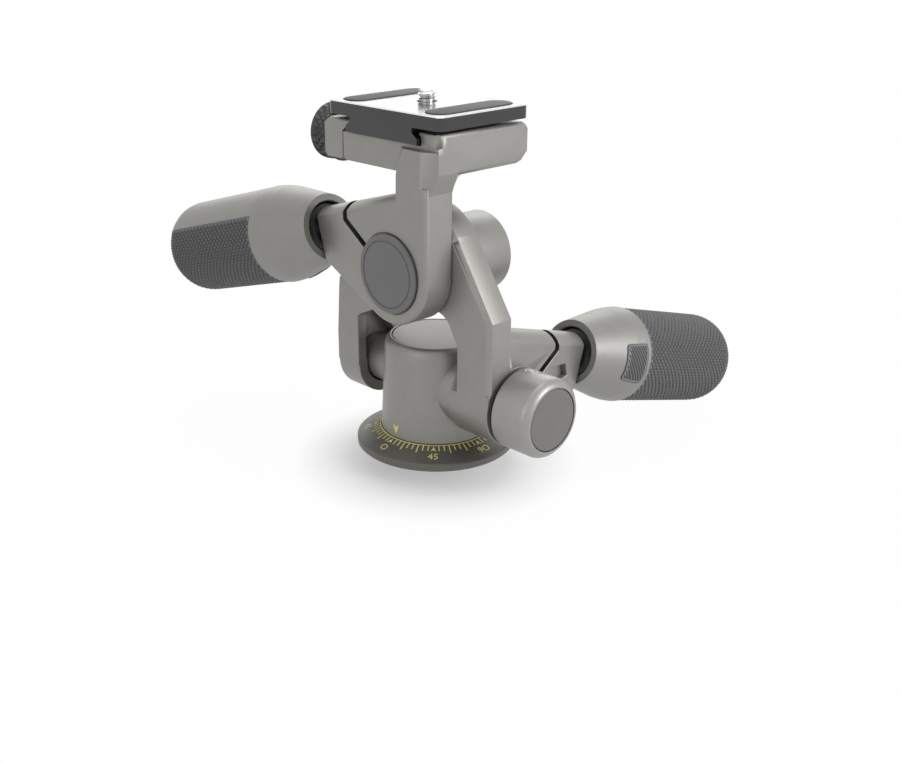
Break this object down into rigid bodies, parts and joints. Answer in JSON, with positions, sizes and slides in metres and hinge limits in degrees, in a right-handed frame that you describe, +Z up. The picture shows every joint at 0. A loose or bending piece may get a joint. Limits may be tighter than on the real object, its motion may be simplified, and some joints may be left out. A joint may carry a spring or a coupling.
{
  "type": "three way pan tilt head",
  "caption": "Three way pan tilt head with twist-lock handles, a degree dial base, a side-mounted tilt bracket and a dovetail camera plate.",
  "frame": {"origin": "centre of the tripod thread's mouth in the base's underside", "axes": "+Z up along the pan axis, -Y towards the camera's lens side, +X to the right seen from the lens side"},
  "size_m": [0.1665, 0.1802, 0.1357],
  "materials": {
    "grey_paint": "satin warm grey paint over a casting",
    "dial_paint": "satin dark grey paint",
    "cap_paint": "satin light grey paint",
    "disc_plastic": "matte dark grey",
    "grip_rubber": "matte, patterned",
    "plate_metal": "glossy anodised, dark at grazing angles",
    "steel": "turned steel",
    "dark_steel": "blackened steel",
    "bronze": "sintered bronze",
    "slip_plastic": "self-lubricating off-white plastic",
    "knob_rubber": "dark grey, knurled"
  },
  "bodies": {
    "base": {"base_disc": "dial_paint", "pan_spindle": "steel", "base_screws": "dark_steel", "pan_nut": "steel"},
    "column": {"column": "grey_paint", "column_cap": "cap_paint", "pan_friction_ring": "slip_plastic", "pan_washer": "steel", "front_trunnion": "steel", "rear_trunnion": "grey_paint", "roll_stop_ring": "dark_steel"},
    "pan_brake": {"pan_brake_shoe": "bronze"},
    "pan_lock": {"pan_lock_knob": "grey_paint", "pan_knob_disc": "disc_plastic", "pan_lock_stem": "steel"},
    "yoke": {"yoke": "grey_paint", "rear_bush": "bronze", "rear_cap": "disc_plastic", "tilt_shaft": "steel", "tilt_retainer": "dark_steel", "tilt_washer": "slip_plastic", "tilt_end_cap": "disc_plastic"},
    "roll_handle": {"roll_handle_core": "grey_paint", "roll_handle_sleeve": "grip_rubber", "roll_handle_patch": "grip_rubber", "roll_clamp_rod": "steel", "roll_clamp_collar": "steel"},
    "bracket": {"bracket": "grey_paint", "hub_disc": "disc_plastic", "jaw_guide_pins": "steel"},
    "tilt_handle": {"tilt_handle_core": "grey_paint", "tilt_handle_sleeve": "grip_rubber", "tilt_handle_patch": "grip_rubber", "tilt_clamp_rod": "steel", "tilt_clamp_collar": "steel"},
    "jaw": {"clamp_jaw": "grey_paint"},
    "clamp_knob": {"clamp_knob": "knob_rubber", "clamp_screw": "steel"},
    "plate": {"camera_plate": "plate_metal", "plate_pads": "grip_rubber"},
    "camera_screw": {"camera_screw": "steel"}
  },
  "joints": [
    {"name": "pan", "type": "hinge", "parent": "base", "child": "column", "pos_m": [0, 0, 0], "axis": [0, 0, 1], "continuous": true},
    {"name": "pan_lock", "type": "hinge", "parent": "column", "child": "pan_lock", "pos_m": [0, -0.0407, 0.0252], "axis": [0, 1, 0], "range_deg": [0, 120]},
    {"name": "pan_brake", "type": "slide", "parent": "column", "child": "pan_brake", "axis": [0, 1, 0], "range_m": [0, 0.0003]},
    {"name": "roll", "type": "hinge", "parent": "column", "child": "yoke", "pos_m": [0, 0, 0.0252], "axis": [0, 1, 0], "range_deg": [-82, 42]},
    {"name": "tilt", "type": "hinge", "parent": "yoke", "child": "bracket", "pos_m": [0, -0.004, 0.0705], "axis": [1, 0, 0], "range_deg": [-4, 82]},
    {"name": "roll_handle", "type": "hinge", "parent": "yoke", "child": "roll_handle", "pos_m": [0.00503, -0.032, 0.04274], "axis": [0.9613, 0, -0.2756], "range_deg": [-180, 45]},
    {"name": "tilt_handle", "type": "hinge", "parent": "bracket", "child": "tilt_handle", "pos_m": [-0.02005, 0.00103, 0.08804], "axis": [0, 0.9613, -0.2756], "range_deg": [-180, 45]},
    {"name": "jaw", "type": "slide", "parent": "bracket", "child": "jaw", "axis": [0, 1, 0], "range_m": [0, 0.003]},
    {"name": "clamp_knob", "type": "hinge", "parent": "jaw", "child": "clamp_knob", "pos_m": [-0.012, 0.0322, 0.1115], "axis": [0, 1, 0], "range_deg": [0, 1080]},
    {"name": "plate_slide", "type": "slide", "parent": "bracket", "child": "plate", "axis": [1, 0, 0], "range_m": [0, 0.045]},
    {"name": "camera_screw", "type": "hinge", "parent": "plate", "child": "camera_screw", "pos_m": [-0.0042, 0.0002, 0.1252], "axis": [0, 0, 1], "continuous": true}
  ],
  "couplings": [
    {"joint": "pan_lock", "follows": "pan_brake", "rad_per_m": 6981.3},
    {"joint": "clamp_knob", "follows": "jaw", "rad_per_m": 6283.2}
  ]
}
